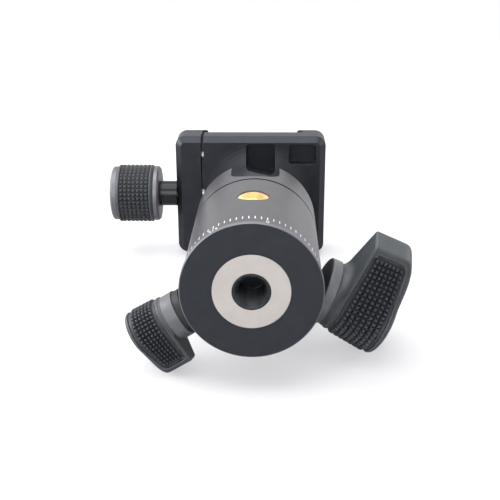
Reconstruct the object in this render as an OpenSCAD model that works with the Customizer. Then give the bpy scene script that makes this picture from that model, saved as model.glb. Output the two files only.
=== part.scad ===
// Tripod ball head: a round housing that holds a ball, a plate clamp on the ball's stem, a wing knob
// that locks the ball, a smaller wing knob that locks the pan, and a base with a threaded socket.
// Millimetres. The origin is the mouth of the tripod socket, and +Z runs up the pan axis.
// The drop notch and the badge face -Y, and the clamp's knob points to -X.

/* [Ball and housing] */
// Radius of the ball
ball_r = 17.5; // [15.5:0.1:19]
// Height of the ball's centre above the base
ball_z = 57.5; // [56.5:0.5:62]
// Gap between the ball and the wall of its cavity
ball_side_gap = 0.4; // [0.3:0.05:0.8]
// Wall between the cavity and the outside
body_wall = 2.7; // [2.4:0.1:4]
// Height of the line where the collar meets the housing
split_z = 44; // [42.5:0.5:46]
// Height of the dark groove above that line
groove_h = 0.65; // [0.3:0.05:1.2]
// Depth of that groove
groove_depth = 0.7; // [0.3:0.1:1]
// Length of the collar's spigot inside the housing
spigot_h = 5.7; // [4:0.1:7]
// Wall of the housing round the spigot
spigot_wall = 1.4; // [1:0.1:1.6]
// Height of the collar's rim above the ball's centre
rim_h = 5.8; // [5.4:0.1:7]
// Bevel on the outer edge of the rim
rim_bevel = 0.6; // [0.2:0.1:1]
// Height of the liner ring above the ball
liner_h = 4; // [2.5:0.1:4.2]
// Depth of the liner's groove in the collar
liner_depth = 1; // [0.6:0.1:1.4]
// Room on each side of the stem in the drop notch
notch_side_gap = 3.2; // [2:0.1:4.5]
// Room below the stem in the drop notch
notch_floor_gap = 5.3; // [3:0.1:6]

/* [Base and pan bearing] */
// How far the base disc stands out past the housing
base_lip = 0.4; // [0.1:0.1:1.5]
// Thickness of the base disc at its rim
base_h = 1.7; // [1.4:0.1:3]
// Height of the boss in the middle of the base disc
base_boss_h = 1.5; // [1:0.1:2]
// Gap between the base disc and the housing
pan_gap = 0.2; // [0.1:0.05:0.4]
// Outer radius of the steel washer in the base
washer_r = 11.4; // [10.5:0.1:13]
// Thickness of the steel washer
washer_h = 0.8; // [0.5:0.1:1]
// Outer radius of the threaded bush
bush_r = 5.72; // [5.2:0.02:6]
// Length of the threaded bush
bush_h = 14; // [13:0.5:15]
// Radius at the crests of the socket's thread
socket_r = 4; // [3.2:0.05:4.2]
// Depth of the tripod socket
socket_depth = 12; // [9:0.5:12.5]
// Radius of the spindle's neck
neck_ring_r = 11; // [10.8:0.1:11.8]
// Height of the flange above the pan lock's axis
flange_above = 3.5; // [3.3:0.1:4.5]
// Depth of the flange below the pan lock's axis
flange_below = 6; // [4:0.1:6.5]
// Height of the pan lock's axis above the base
pan_lock_z = 15; // [14.5:0.1:16.5]
// Thickness of the friction washers
friction_h = 0.45; // [0.3:0.05:0.8]
// Wall between the pan bearing and the outside
bearing_wall = 5.3; // [5:0.1:5.8]
// Wall of the housing round the retaining ring
ring_wall = 3.6; // [3:0.1:4.4]
// Thickness of the web above the pan bearing
web_h = 1.95; // [1.5:0.05:3]
// Radius of the shanks of the base screws
base_screw_r = 1.25; // [1:0.05:1.4]
// Distance of the base screws from the pan axis
base_screw_at = 8.6; // [8.3:0.1:8.8]
// Number of base screws
base_screws_n = 3; // [3:1:6]

/* [Badge] */
// Radius of the round badge
badge_r = 4.9; // [3.5:0.1:5.4]
// Height of the badge above the base
badge_z = 27; // [26.5:0.5:33]
// How far the badge's dome stands out of the housing
badge_out = 0.6; // [0.2:0.1:1]
// Depth of the badge's seat below the housing's surface
badge_seat = 1; // [0.8:0.1:1.6]

/* [Ball lock] */
// Direction of the ball lock knob, from +X towards +Y
main_dir = 24.4; // [15:0.1:35]
// Height of the knob's axis above the web
main_rise = 4; // [3.8:0.1:5]
// Radius of the ball lock's screw
main_screw_r = 3; // [2.5:0.1:3]
// Radius of its bush
main_bush_r = 4.2; // [3.9:0.1:4.6]
// Slope of the wedge
wedge_slope = 15; // [8:0.5:17]
// Height of the wedge above the knob's axis, at the pan axis
wedge_h = 7; // [6.6:0.1:7.4]
// Width of the wedge
wedge_w = 20; // [14:0.5:24]
// Depth of the cup's rim below the ball's centre
cup_drop = 10.5; // [8:0.1:12]
// Radius of the hole in the cup
cup_hole_r = 8; // [6:0.1:9]

/* [Ball lock knob] */
// Radius of its hub
main_hub_r = 10.5; // [8:0.1:10.6]
// Length of its hub
main_hub_h = 6.4; // [5:0.1:8]
// Radius of the round part at the hub
main_in_r = 10.8; // [10.7:0.1:12]
// Radius of the round part at the cap
main_out_r = 12.8; // [12:0.1:14]
// Length of the round part
main_len = 15.3; // [13:0.1:18]
// Height of the domed cap
main_dome_h = 3.7; // [3:0.1:6]
// Reach of the wing from the knob's axis
main_reach = 26.1; // [24:0.1:29]
// Thickness of the wing at its tip
main_tip_w = 9.1; // [6:0.1:11]
// Radius of the tip's corners
main_tip_r = 1; // [0.8:0.1:2]
// Width of the rim between the tip and the inlay
main_tip_rim = 1.7; // [1.2:0.1:7]
// Droop of the wing below the level
main_droop = 18.6; // [0:0.1:30]

/* [Pan lock knob] */
// Direction of the pan lock knob, from +X towards +Y
pan_dir = 148.4; // [135:0.1:160]
// Radius of the pan lock's screw
pan_screw_r = 2.5; // [2:0.1:2.6]
// Radius of its bush
pan_bush_r = 3.6; // [3.4:0.1:3.9]
// Radius of the brake shoe
shoe_r = 2.6; // [2:0.1:2.8]
// Depth of the groove that the shoe presses on
shoe_groove = 0.8; // [0.6:0.1:1]
// Radius of its hub
pan_hub_r = 7.5; // [6.5:0.1:7.5]
// Length of its hub
pan_hub_h = 6.9; // [5:0.1:8]
// Radius of the round part at the hub
pan_in_r = 7.6; // [7.6:0.1:8.4]
// Radius of the round part at the cap
pan_out_r = 8; // [8:0.1:9]
// Length of the round part
pan_len = 11.3; // [9:0.1:13]
// Height of the domed cap
pan_dome_h = 2; // [1.5:0.1:4]
// Reach of the wing from the knob's axis
pan_reach = 14.2; // [12:0.1:14.3]
// Thickness of the wing at its tip
pan_tip_w = 6.4; // [5:0.1:8]
// Radius of the tip's corners
pan_tip_r = 0.8; // [0.8:0.1:1.4]
// Width of the rim between the tip and the inlay
pan_tip_rim = 1.6; // [1.2:0.1:4]
// Droop of the wing below the level
pan_droop = 15; // [0:0.1:30]

/* [Rubber inlays] */
// Depth of an inlay in its knob
inlay_depth = 0.9; // [0.6:0.1:1.4]
// How far an inlay stands out of its knob
inlay_out = 0.4; // [0.2:0.1:0.6]

/* [Stem] */
// Radius of the stem's neck
stem_r = 5; // [4.5:0.1:5.4]
// Radius of the stem's shoulder
shoulder_r = 6.75; // [6.2:0.05:8]
// Radius of the stud that holds the stem in the ball
stud_r = 4; // [3:0.1:4.2]
// Length of that stud inside the ball
stud_h = 11.7; // [8:0.1:12]
// Room between the collar and the stem's shoulder when the stem lies in the notch
shoulder_room = 1.9; // [1.2:0.1:3]
// Height of the shoulder
shoulder_h = 1.5; // [1:0.1:2.5]

/* [Plate clamp] */
// Height of the clamp's underside above the top of the stem's shoulder
clamp_rise = 8.5; // [7.5:0.1:10]
// Distance of the fixed side's outer face from the stem's axis
clamp_far = 25.6; // [25:0.1:28]
// Distance of the gap's middle from the stem's axis
gap_at = 20.5; // [20:0.1:21.5]
// Width of the gap between the body and the jaw
gap_w = 1; // [0.8:0.1:1.2]
// Width of the jaw
jaw_w = 9.6; // [9:0.1:12]
// Length of the clamp along the plate
clamp_len = 46.2; // [42:0.2:54]
// Thickness from the underside to the plate's channel
floor_h = 8; // [7.6:0.1:10]
// Height of the lips above the channel's floor
lip_h = 4.2; // [3.6:0.1:5]
// Height of the upright wall under each dovetail
lip_foot = 2.1; // [2.05:0.05:2.6]
// Width of the channel at its floor
channel_w = 38.2; // [38:0.1:38.6]
// Bevel round the underside
under_bevel = 2.1; // [1:0.1:2.5]
// Radius of the corners in plan
corner_r = 3.8; // [2.8:0.1:4.5]
// Radius of the boss where it meets the underside
boss_r = 21; // [18:0.1:21]
// Radius of the boss at its lower end
boss_low_r = 8.5; // [8:0.1:9.5]
// Depth of the pockets in the underside
pocket_h = 4.5; // [3:0.1:5]
// Radius of the jaw's guide pins
pin_r = 1.5; // [1:0.1:1.8]
// Distance of each guide pin from the clamp's middle
pin_at = 15; // [13:0.1:17]

/* [Clamp knob] */
// Height of the clamp screw's axis above the underside
screw_rise = 4.5; // [4.2:0.1:4.6]
// Radius of the clamp screw
clamp_screw_r = 2.5; // [2:0.1:2.5]
// Radius of the spacer sleeve
spacer_r = 4.75; // [4:0.05:6]
// Length of the spacer sleeve
spacer_len = 6.55; // [5:0.05:9]
// Radius of the knob's flange
flange_knob_r = 10.4; // [9:0.1:11]
// Thickness of that flange
flange_knob_h = 2.1; // [1.5:0.1:3]
// Radius of the knurled sleeve
sleeve_r = 10.9; // [10:0.1:12]
// Length of the knurled sleeve
sleeve_len = 13.8; // [10:0.1:17]
// Radius of the knob's cap
cap_r = 10.2; // [8:0.1:10.4]
// Height of the knob's cap
cap_h = 2.8; // [1.5:0.1:4]

/* [Hidden] */
$fn = 72;
// Extra length of a cut past the face it opens
past = 1;
// Thickness of a slice that only marks an outline in a hull
thin = 0.03;
// Radial gap of parts pressed or screwed together
snug = 0.02;
// Radial gap of parts that turn or slide in each other
run = 0.05;
// Gap of faces that stay apart over the whole travel
clear = 0.3;
// Bevel on small turned edges
edge = 0.3;

// Housing
cavity_r = ball_r + ball_side_gap;
body_r = cavity_r + body_wall;
housing_z = base_h + pan_gap;
bearing_r = body_r - bearing_wall;
flange_r = bearing_r - clear;
ring_r = body_r - ring_wall;
spigot_r = body_r - spigot_wall;
rim_z = ball_z + rim_h;

// Pan bearing, from the base up
base_r = body_r + base_lip;
boss_z = base_h + base_boss_h;
base_boss_r = neck_ring_r - 2 * run;
base_screw_head = 0.9;
base_screw_head_r = base_screw_r + base_screw_head;
base_screw_end = 8;
flange_z = pan_lock_z - flange_below;
flange_top = pan_lock_z + flange_above;
ring_top = flange_z - friction_h - run;
ring_z = housing_z + clear;
web_z = flange_top + friction_h + run;
cavity_z = web_z + web_h;

// Pan lock
lock_travel = 0.4;
shoe_len = 3;
bush_stand = 1.8;
groove_half = shoe_r + lock_travel / 2;
shoe_floor = flange_r - shoe_groove;
shoe_face = shoe_floor + lock_travel;
pan_screw_tip = shoe_face + shoe_len + lock_travel / 2;
pan_bush_in = pan_screw_tip + lock_travel / 2;
bush_out = body_r + bush_stand;
hub_in = bush_out + clear;

// Ball lock
main_z = cavity_z + main_rise;
main_bush_in = cavity_r + clear;
clip_h = 0.7;
clip_rim = 0.8;
clip_groove = 0.4;
clip_out = main_bush_in - clear - 4 * run;
clip_r = main_screw_r + clip_rim;
wedge_room = 2;
wedge_r = cavity_r - wedge_room;
wedge_z = main_z + wedge_h;
wedge_hole_in = -10;
main_screw_in = -8;
cup_r = cavity_r - run;
cup_seat_gap = 0.15;
cup_foot_z = main_z + clip_r + clear + 2 * run;

// Liner
liner_z = ball_z + clear;
liner_r = cavity_r + liner_depth;
lip_r = ball_r + 4 * run;

// Badge
badge_floor = body_r - badge_seat;
foil_h = 0.2;
dome_foot = badge_floor + foil_h;
dome_rise = badge_seat - foil_h + badge_out;
dome_r = badge_r - 3 * run;
dome_ball_r = (dome_r * dome_r + dome_rise * dome_rise) / (2 * dome_rise);

// Ball and stem, as heights above the ball's centre
flat_r = stem_r + 5 * run;
flat_h = sqrt(ball_r * ball_r - flat_r * flat_r);
shoulder_at = body_r + shoulder_room;
shoulder_top = shoulder_at + shoulder_h;
notch_half = stem_r + notch_side_gap;
notch_z = ball_z - stem_r - notch_floor_gap;

// Clamp
hub_z = ball_z + shoulder_top + run;
under_z = hub_z + clamp_rise - run;
floor_z = under_z + floor_h;
lip_z = floor_z + lip_h;
dovetail = lip_h - lip_foot;
clamp_half = clamp_len / 2;
body_x = -gap_at + gap_w / 2;
jaw_x = -gap_at - gap_w / 2;
jaw_out = jaw_x - jaw_w;
lip_x = jaw_x + channel_w;
screw_z = under_z + screw_rise;
pin_top = screw_z;
screw_head_r = stem_r + 2 * clear;
screw_head_h = 2.9;
head_bore_r = screw_head_r + 4 * run;
shank_r = 2.5;
shank_h = 12;
// Room past the tips of the clamp screw and the guide pins, for the jaw's travel
tip_room = 1.4;
screw_wall = 1;
screw_hole_end = -head_bore_r - screw_wall;
clamp_screw_end = screw_hole_end - tip_room;
pin_hole_len = 12;
pin_hole_end = body_x + pin_hole_len;
pin_end = pin_hole_end - tip_room;
// Opposite corners of the two pockets on the -Y side, and the slant of the inner one
pocket_a = [[-4.1, -20.4], [6.7, -11.2]];
pocket_b = [[11.8, -20.3], [22, -12.8]];
pocket_slant = 1.9;
pocket_corner_r = 1.5;

// Clamp knob, as distances from the stem's axis towards -X
spacer_end = -jaw_out + spacer_len;
knob_in = spacer_end + run;
sleeve_in = knob_in + flange_knob_h;
sleeve_end = sleeve_in + sleeve_len;
knob_end = sleeve_end + cap_h;
sleeve_wall = 2;
core_r = sleeve_r - sleeve_wall;

// Wing knobs, as distances from the pan axis along their own axes
main_low = hub_in + main_hub_h;
pan_low = hub_in + pan_hub_h;

// Places its children with +Z along a lock's axis, and +X along its wing
module lock_axis(dir, z, droop) {
    translate([0, 0, z]) rotate([0, 0, dir]) rotate([0, 90, 0]) rotate([0, 0, droop - 90]) children();
}

// Places its children with +Z along the clamp screw's axis, away from the stem
module screw_axis() {
    translate([0, 0, screw_z]) rotate([0, -90, 0]) children();
}

// A plain or hollow round piece between two heights
module tube(r, low, high, bore = 0) {
    difference() {
        translate([0, 0, low]) cylinder(r = r, h = high - low);
        if (bore > 0) translate([0, 0, low - past]) cylinder(r = bore, h = high - low + 2 * past);
    }
}

// A round piece with small bevels on its two outer edges
module turned(r, low, high, bevel_low = edge, bevel_high = edge) {
    rotate_extrude() polygon([
        [0, low], [r - bevel_low, low], [r, low + bevel_low], [r, high - bevel_high],
        [r - bevel_high, high], [0, high]
    ]);
}

// The drop notch: an upright slot with a round floor, open at the top and towards -Y
module notch_cut() {
    height = rim_z - notch_z - notch_half + past;
    translate([0, 0, notch_z + notch_half]) rotate([90, 0, 0]) linear_extrude(body_r + past) {
        translate([-notch_half, 0]) square([2 * notch_half, height]);
        circle(notch_half);
    }
}

// Where the base screws stand
module at_base_screws() {
    for (i = [0 : base_screws_n - 1]) rotate([0, 0, 90 + 360 * i / base_screws_n])
        translate([base_screw_at, 0, 0]) children();
}

// One base screw, grown by a gap
module base_screw_form(gap) {
    translate([0, 0, washer_h]) {
        cylinder(r1 = base_screw_head_r + gap, r2 = base_screw_r + gap, h = base_screw_head);
        cylinder(r = base_screw_r + gap, h = base_screw_end - washer_h + gap);
    }
}

module base_disc() {
    color([0.2, 0.21, 0.23]) difference() {
        union() {
            turned(base_r, 0, base_h);
            tube(base_boss_r, base_h / 2, boss_z);
        }
        tube(washer_r + snug, -past, washer_h);
        tube(bush_r + snug, -past, boss_z + past);
        at_base_screws() base_screw_form(snug);
    }
}

module base_washer() {
    color([0.8, 0.78, 0.76]) tube(washer_r, 0, washer_h, bush_r + snug);
}

module threaded_bush() {
    color([0.08, 0.08, 0.09]) difference() {
        tube(bush_r, 0, bush_h);
        tube(socket_r, -past, socket_depth);
    }
}

module base_screws() {
    color([0.5, 0.5, 0.52]) at_base_screws() base_screw_form(0);
}

module spindle() {
    color([0.55, 0.56, 0.58]) difference() {
        union() {
            tube(neck_ring_r, boss_z, flange_z + edge);
            turned(flange_r, flange_z, flange_top);
        }
        difference() {
            tube(flange_r + past, pan_lock_z - groove_half, pan_lock_z + groove_half);
            tube(shoe_floor, flange_z, flange_top);
        }
        tube(bush_r + snug, 0, bush_h + clear);
        at_base_screws() base_screw_form(snug);
    }
}

module pan_washer_low() {
    color([0.9, 0.88, 0.8]) tube(flange_r - clear, flange_z - friction_h, flange_z, neck_ring_r + 2 * run);
}

module pan_washer_top() {
    color([0.9, 0.88, 0.8]) tube(flange_r - clear, flange_top, flange_top + friction_h, bush_r);
}

module housing() {
    color([0.3, 0.3, 0.33]) difference() {
        turned(body_r, housing_z, split_z, edge, edge);
        tube(ring_r, housing_z - past, ring_top);
        tube(bearing_r, housing_z, web_z);
        tube(cavity_r, cavity_z, split_z + past);
        tube(spigot_r, split_z - spigot_h - clear, split_z + past);
        lock_axis(main_dir, main_z, 0) tube(main_bush_r + snug, cavity_r - past, body_r + past);
        lock_axis(pan_dir, pan_lock_z, 0) {
            tube(pan_bush_r + snug, pan_bush_in, body_r + past);
            tube(shoe_r + run, bearing_r - past, pan_bush_in + past);
        }
        translate([0, 0, badge_z]) rotate([90, 0, 0]) tube(badge_r, badge_floor, body_r + past);
    }
}

module retaining_ring() {
    color([0.45, 0.45, 0.47]) tube(ring_r - snug, ring_z, ring_top, neck_ring_r + run);
}

module collar() {
    color([0.3, 0.3, 0.33]) difference() {
        union() {
            tube(spigot_r - snug, split_z - spigot_h, split_z + groove_h);
            tube(body_r - groove_depth, split_z, split_z + groove_h);
            turned(body_r, split_z + groove_h, rim_z, edge, rim_bevel);
        }
        tube(cavity_r, split_z - spigot_h - past, liner_z);
        tube(liner_r + snug, liner_z, liner_z + liner_h);
        translate([0, 0, ball_z]) sphere(lip_r);
        notch_cut();
    }
}

module ball_liner() {
    color([0.92, 0.92, 0.9]) difference() {
        tube(liner_r, liner_z, liner_z + liner_h);
        translate([0, 0, ball_z]) sphere(ball_r + run);
        notch_cut();
    }
}

module main_bush() {
    color([0.1, 0.1, 0.11]) lock_axis(main_dir, main_z, 0)
        tube(main_bush_r, main_bush_in, bush_out, main_screw_r + run);
}

module pan_bush() {
    color([0.1, 0.1, 0.11]) lock_axis(pan_dir, pan_lock_z, 0)
        tube(pan_bush_r, pan_bush_in, bush_out, pan_screw_r + run);
}

module badge_foil() {
    color([0.95, 0.75, 0.2]) translate([0, 0, badge_z]) rotate([90, 0, 0])
        tube(dome_r, badge_floor, dome_foot);
}

module badge_dome() {
    color([0.95, 0.8, 0.3, 0.6]) translate([0, 0, badge_z]) rotate([90, 0, 0]) intersection() {
        tube(dome_r, dome_foot, dome_foot + dome_rise + past);
        translate([0, 0, dome_foot + dome_rise - dome_ball_r]) sphere(dome_ball_r);
    }
}

// A wing knob's outer form, grown sideways by a gap: a round cone with a domed cap, drawn out to a tip
module wing_form(in_r, out_r, low, high, dome_h, reach, tip_w, tip_r, grow = 0) {
    // Slices of the cap: share of its height, share of the radius, shift away from the tip
    crown = [[0.43, 0.85, 0.09], [0.63, 0.64, 0.125], [1, 0.2, 0.155]];
    // The wing ends a little below the cap's rim
    tip_high = high - dome_h * 2 / 3;
    tip_at = reach + grow - tip_r;
    tip_side = tip_w / 2 + grow - tip_r;
    hull() {
        translate([0, 0, low]) cylinder(r1 = in_r + grow, r2 = out_r + grow, h = high - low);
        for (slice = crown) translate([-slice[2] * out_r, 0, high + slice[0] * dome_h - thin])
            cylinder(r = slice[1] * out_r + grow, h = thin);
        for (side = [-1, 1]) translate([tip_at, side * tip_side, low]) {
            translate([0, 0, edge]) cylinder(r = tip_r, h = tip_high - low - 2 * edge);
            cylinder(r = tip_r - 2 * edge, h = tip_high - low);
        }
    }
}

// The space that a wing knob's rubber inlay takes along the axis and up to the tip's rim
module inlay_zone(low, high, inlay_reach) {
    wide = 2 * inlay_reach;
    translate([inlay_reach - 2 * wide, -wide, low]) cube([2 * wide, 2 * wide, high - low]);
}

// A wing knob with its hub, its inlay's bed cut away, and a blind bore for its screw
module wing_knob(in_r, out_r, hub_r, low, len, dome_h, reach, tip_w, tip_r, tip_rim, screw_r) {
    high = low + len;
    difference() {
        union() {
            turned(hub_r, hub_in, low + edge, 2 * edge, edge);
            difference() {
                wing_form(in_r, out_r, low, high, dome_h, reach, tip_w, tip_r);
                inlay_zone(low + edge, high - edge, reach - tip_rim);
            }
            wing_form(in_r, out_r, low, high, dome_h, reach, tip_w, tip_r, -inlay_depth);
        }
        tube(screw_r + snug, hub_in - past, low + len / 3);
    }
}

// The rubber inlay of a wing knob
module wing_inlay(in_r, out_r, low, len, dome_h, reach, tip_w, tip_r, tip_rim) {
    high = low + len;
    intersection() {
        difference() {
            wing_form(in_r, out_r, low, high, dome_h, reach, tip_w, tip_r, inlay_out);
            wing_form(in_r, out_r, low, high, dome_h, reach, tip_w, tip_r, -inlay_depth + snug);
        }
        inlay_zone(low + edge + snug, high - edge - snug, reach - tip_rim - snug);
    }
}

module main_screw() {
    color([0.6, 0.6, 0.62]) lock_axis(main_dir, main_z, 0) difference() {
        tube(main_screw_r, main_screw_in, main_low + main_len / 3 - clear);
        tube(main_screw_r + past, clip_out - clip_h - run, clip_out + run, main_screw_r - clip_groove);
    }
}

module main_clip() {
    color([0.6, 0.6, 0.62]) lock_axis(main_dir, main_z, 0)
        tube(clip_r, clip_out - clip_h, clip_out, main_screw_r - clip_groove + snug);
}

module main_knob() {
    color([0.3, 0.32, 0.34]) lock_axis(main_dir, main_z, main_droop)
        wing_knob(main_in_r, main_out_r, main_hub_r, main_low, main_len, main_dome_h,
            main_reach, main_tip_w, main_tip_r, main_tip_rim, main_screw_r);
}

module main_inlay() {
    color([0.12, 0.12, 0.13]) lock_axis(main_dir, main_z, main_droop)
        wing_inlay(main_in_r, main_out_r, main_low, main_len, main_dome_h,
            main_reach, main_tip_w, main_tip_r, main_tip_rim);
}

// A block below the slope that the wedge and the cup share, which crosses the pan axis at a height
module under_slope(z) {
    long = 4 * body_r;
    lock_axis(main_dir, z, 90) rotate([0, -wedge_slope, 0])
        translate([0, -long / 2, -long / 2]) cube([long, long, long]);
}

module lock_wedge() {
    color([0.7, 0.6, 0.35]) difference() {
        intersection() {
            tube(wedge_r, cavity_z + clear, ball_z);
            rotate([0, 0, main_dir]) translate([-body_r, -wedge_w / 2, 0])
                cube([2 * body_r, wedge_w, ball_z]);
            under_slope(wedge_z);
        }
        lock_axis(main_dir, main_z, 0) tube(main_screw_r + run, wedge_hole_in, body_r);
    }
}

module ball_cup() {
    color([0.85, 0.85, 0.82]) difference() {
        tube(cup_r, cup_foot_z, ball_z - cup_drop, cup_hole_r);
        under_slope(wedge_z + run);
        translate([0, 0, ball_z]) sphere(ball_r + cup_seat_gap);
    }
}

module pan_screw() {
    color([0.6, 0.6, 0.62]) lock_axis(pan_dir, pan_lock_z, 0)
        tube(pan_screw_r, pan_screw_tip, pan_low + pan_len / 3 - clear);
}

module pan_knob() {
    color([0.3, 0.32, 0.34]) lock_axis(pan_dir, pan_lock_z, pan_droop)
        wing_knob(pan_in_r, pan_out_r, pan_hub_r, pan_low, pan_len, pan_dome_h,
            pan_reach, pan_tip_w, pan_tip_r, pan_tip_rim, pan_screw_r);
}

module pan_inlay() {
    color([0.12, 0.12, 0.13]) lock_axis(pan_dir, pan_lock_z, pan_droop)
        wing_inlay(pan_in_r, pan_out_r, pan_low, pan_len, pan_dome_h,
            pan_reach, pan_tip_w, pan_tip_r, pan_tip_rim);
}

module brake_shoe() {
    color([0.8, 0.65, 0.35]) difference() {
        lock_axis(pan_dir, pan_lock_z, 0) tube(shoe_r, shoe_face - past, shoe_face + shoe_len);
        tube(shoe_face, 0, web_z);
    }
}

module ball() {
    color([0.25, 0.25, 0.27]) translate([0, 0, ball_z]) difference() {
        sphere(ball_r);
        tube(ball_r, flat_h, ball_r + past);
        tube(stud_r, flat_h - stud_h, ball_r);
    }
}

module stem() {
    color([0.35, 0.35, 0.37]) translate([0, 0, ball_z]) difference() {
        union() {
            tube(stud_r - snug, flat_h - stud_h + clear, flat_h + edge);
            tube(stem_r, flat_h, pin_top - ball_z);
            translate([0, 0, shoulder_at])
                cylinder(r1 = stem_r, r2 = shoulder_r, h = shoulder_h - edge);
            tube(shoulder_r, shoulder_top - edge, shoulder_top);
        }
        tube(shank_r + snug, pin_top - ball_z - shank_h - clear, pin_top - ball_z + past);
    }
}

module stem_screw() {
    color([0.6, 0.6, 0.62]) difference() {
        union() {
            turned(screw_head_r, pin_top, pin_top + screw_head_h, 0, edge);
            tube(shank_r, pin_top - shank_h, pin_top + edge);
        }
        translate([0, 0, pin_top + screw_head_h / 2])
            cylinder(d = screw_head_r, h = screw_head_h, $fn = 6);
    }
}

// A block with its outer corners round in plan and its lower and upper outer edges bevelled.
// It runs from a straight inner end to the round outer end, along X.
module clamp_block(inner, outer) {
    way = sign(outer - inner);
    top_bevel = 2 * edge;
    wall_h = floor_h + lip_h - under_bevel - top_bevel;
    // Each slice: height, thickness and how far it is drawn in
    slices = [
        [under_z, thin, under_bevel],
        [under_z + under_bevel, wall_h, 0],
        [lip_z - thin, thin, top_bevel]
    ];
    hull() for (slice = slices, side = [-1, 1]) translate([0, 0, slice[0]]) {
        translate([outer - way * corner_r, side * (clamp_half - corner_r), 0])
            cylinder(r = corner_r - slice[2], h = slice[1]);
        translate([inner + way * thin, side * (clamp_half - slice[2] - thin), slice[1] / 2])
            cube([2 * thin, 2 * thin, slice[1]], center = true);
    }
}

// A prism along the plate's channel with the given outline in X and Z
module along_channel(outline) {
    translate([0, clamp_half + past, 0]) rotate([90, 0, 0]) linear_extrude(clamp_len + 2 * past)
        polygon(outline);
}

// The boss under the clamp, a trumpet that widens from the stem to the underside
module boss() {
    steps = 12;
    flare = [for (i = [0 : steps]) let (a = 90 * i / steps)
        [boss_low_r + (boss_r - boss_low_r) * (1 - cos(a)), hub_z + (under_z - hub_z) * sin(a)]];
    rotate_extrude() polygon(concat([[0, hub_z]], flare, [[boss_r, under_z + past], [0, under_z + past]]));
}

// A pocket with round corners between two opposite corners, slanted on its inner side
module pocket(corners, slant) {
    low = corners[0];
    high = corners[1];
    translate([0, 0, hub_z - past]) linear_extrude(under_z + pocket_h - hub_z + past)
        offset(pocket_corner_r, $fn = 32) offset(-pocket_corner_r)
            polygon([low, [high[0], low[1]], [high[0], high[1] + slant], [low[0], high[1]]]);
}

module clamp_body() {
    color([0.22, 0.23, 0.25]) difference() {
        union() {
            clamp_block(body_x, clamp_far);
            intersection() {
                boss();
                translate([body_x, -clamp_half, 0]) cube([clamp_far - body_x, clamp_len, lip_z]);
            }
        }
        along_channel([
            [body_x - past, floor_z], [lip_x, floor_z], [lip_x, floor_z + lip_foot],
            [lip_x - dovetail, lip_z], [lip_x - dovetail, lip_z + past], [body_x - past, lip_z + past]
        ]);
        tube(stem_r + run, hub_z - past, floor_z);
        tube(head_bore_r, pin_top - run, floor_z + past);
        screw_axis() tube(clamp_screw_r + run, -screw_hole_end, -body_x + past);
        for (side = [-1, 1]) translate([0, side * pin_at, 0]) screw_axis()
            tube(pin_r + run, -pin_hole_end, -body_x + past);
        for (side = [0, 1]) mirror([0, side, 0]) {
            pocket(pocket_a, pocket_slant);
            pocket(pocket_b, 0);
        }
    }
}

module jaw() {
    color([0.22, 0.23, 0.25]) difference() {
        clamp_block(jaw_x + dovetail, jaw_out);
        along_channel([
            [jaw_x, under_z - past], [jaw_x, floor_z + lip_foot], [jaw_x + dovetail, lip_z],
            [jaw_x + dovetail + past, lip_z], [jaw_x + dovetail + past, under_z - past]
        ]);
        screw_axis() tube(clamp_screw_r + run, -jaw_x - past, -jaw_out + past);
        for (side = [-1, 1]) translate([0, side * pin_at, 0]) screw_axis()
            tube(pin_r + snug, -jaw_x - past, -jaw_x + jaw_w * 2 / 3);
    }
}

module guide_pins() {
    color([0.6, 0.6, 0.62]) for (side = [-1, 1]) translate([0, side * pin_at, 0]) screw_axis()
        tube(pin_r, -pin_end, -jaw_x + jaw_w * 2 / 3 - clear);
}

module spacer() {
    color([0.3, 0.3, 0.33]) screw_axis() tube(spacer_r, -jaw_out, spacer_end, clamp_screw_r + run);
}

module clamp_screw() {
    color([0.6, 0.6, 0.62]) screw_axis() tube(clamp_screw_r, -clamp_screw_end, sleeve_end - clear);
}

module knob_core() {
    color([0.4, 0.4, 0.43]) screw_axis() difference() {
        union() {
            turned(flange_knob_r, knob_in, sleeve_in, 2 * edge, edge);
            tube(core_r, sleeve_in - edge, sleeve_end);
        }
        tube(clamp_screw_r + snug, knob_in - past, sleeve_end + past);
    }
}

module knob_sleeve() {
    color([0.12, 0.12, 0.13]) screw_axis() difference() {
        turned(sleeve_r, sleeve_in, sleeve_end, 2 * edge, 2 * edge);
        tube(core_r + snug, sleeve_in - past, sleeve_end + past);
    }
}

module knob_cap() {
    steps = 8;
    crown_h = cap_h / 2;
    crown_r = (cap_r + cap_h) / 2;
    crown = [for (i = [0 : steps - 1]) let (a = 90 * i / steps)
        [cap_r - crown_r * (1 - cos(a)), knob_end - crown_h * (1 - sin(a))]];
    color([0.4, 0.4, 0.43]) screw_axis() rotate_extrude()
        polygon(concat([[0, sleeve_end], [cap_r, sleeve_end]], crown, [[0, knob_end]]));
}

base_disc();
base_washer();
threaded_bush();
base_screws();
spindle();
pan_washer_low();
pan_washer_top();
housing();
retaining_ring();
collar();
ball_liner();
main_bush();
pan_bush();
badge_foil();
badge_dome();
main_screw();
main_clip();
main_knob();
main_inlay();
lock_wedge();
ball_cup();
pan_screw();
pan_knob();
pan_inlay();
brake_shoe();
ball();
stem();
stem_screw();
clamp_body();
jaw();
guide_pins();
spacer();
clamp_screw();
knob_core();
knob_sleeve();
knob_cap();
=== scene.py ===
# %% [markdown]
# # A tripod ball head, seen from below
# This lesson dresses a small ball head: a round housing that holds a ball, a plate clamp on the
# ball's stem, a big wing knob that locks the ball and a small one that locks the pan. The head lies
# on a white table, and the camera looks at the threaded socket in its base.
#
# The solid model comes in as a fixed frame. Its turned and milled pieces are already right, so they
# only get better finishes. Pieces whose charm is in small relief are rebuilt here as meshes: the two
# wing knobs with their rubber inlays, the knurled sleeve, the thread in the socket and the scale.

# %% Load the frame
import math
from types import SimpleNamespace as Sizes

import bmesh
import bpy
from mathutils import Matrix, Vector


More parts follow.
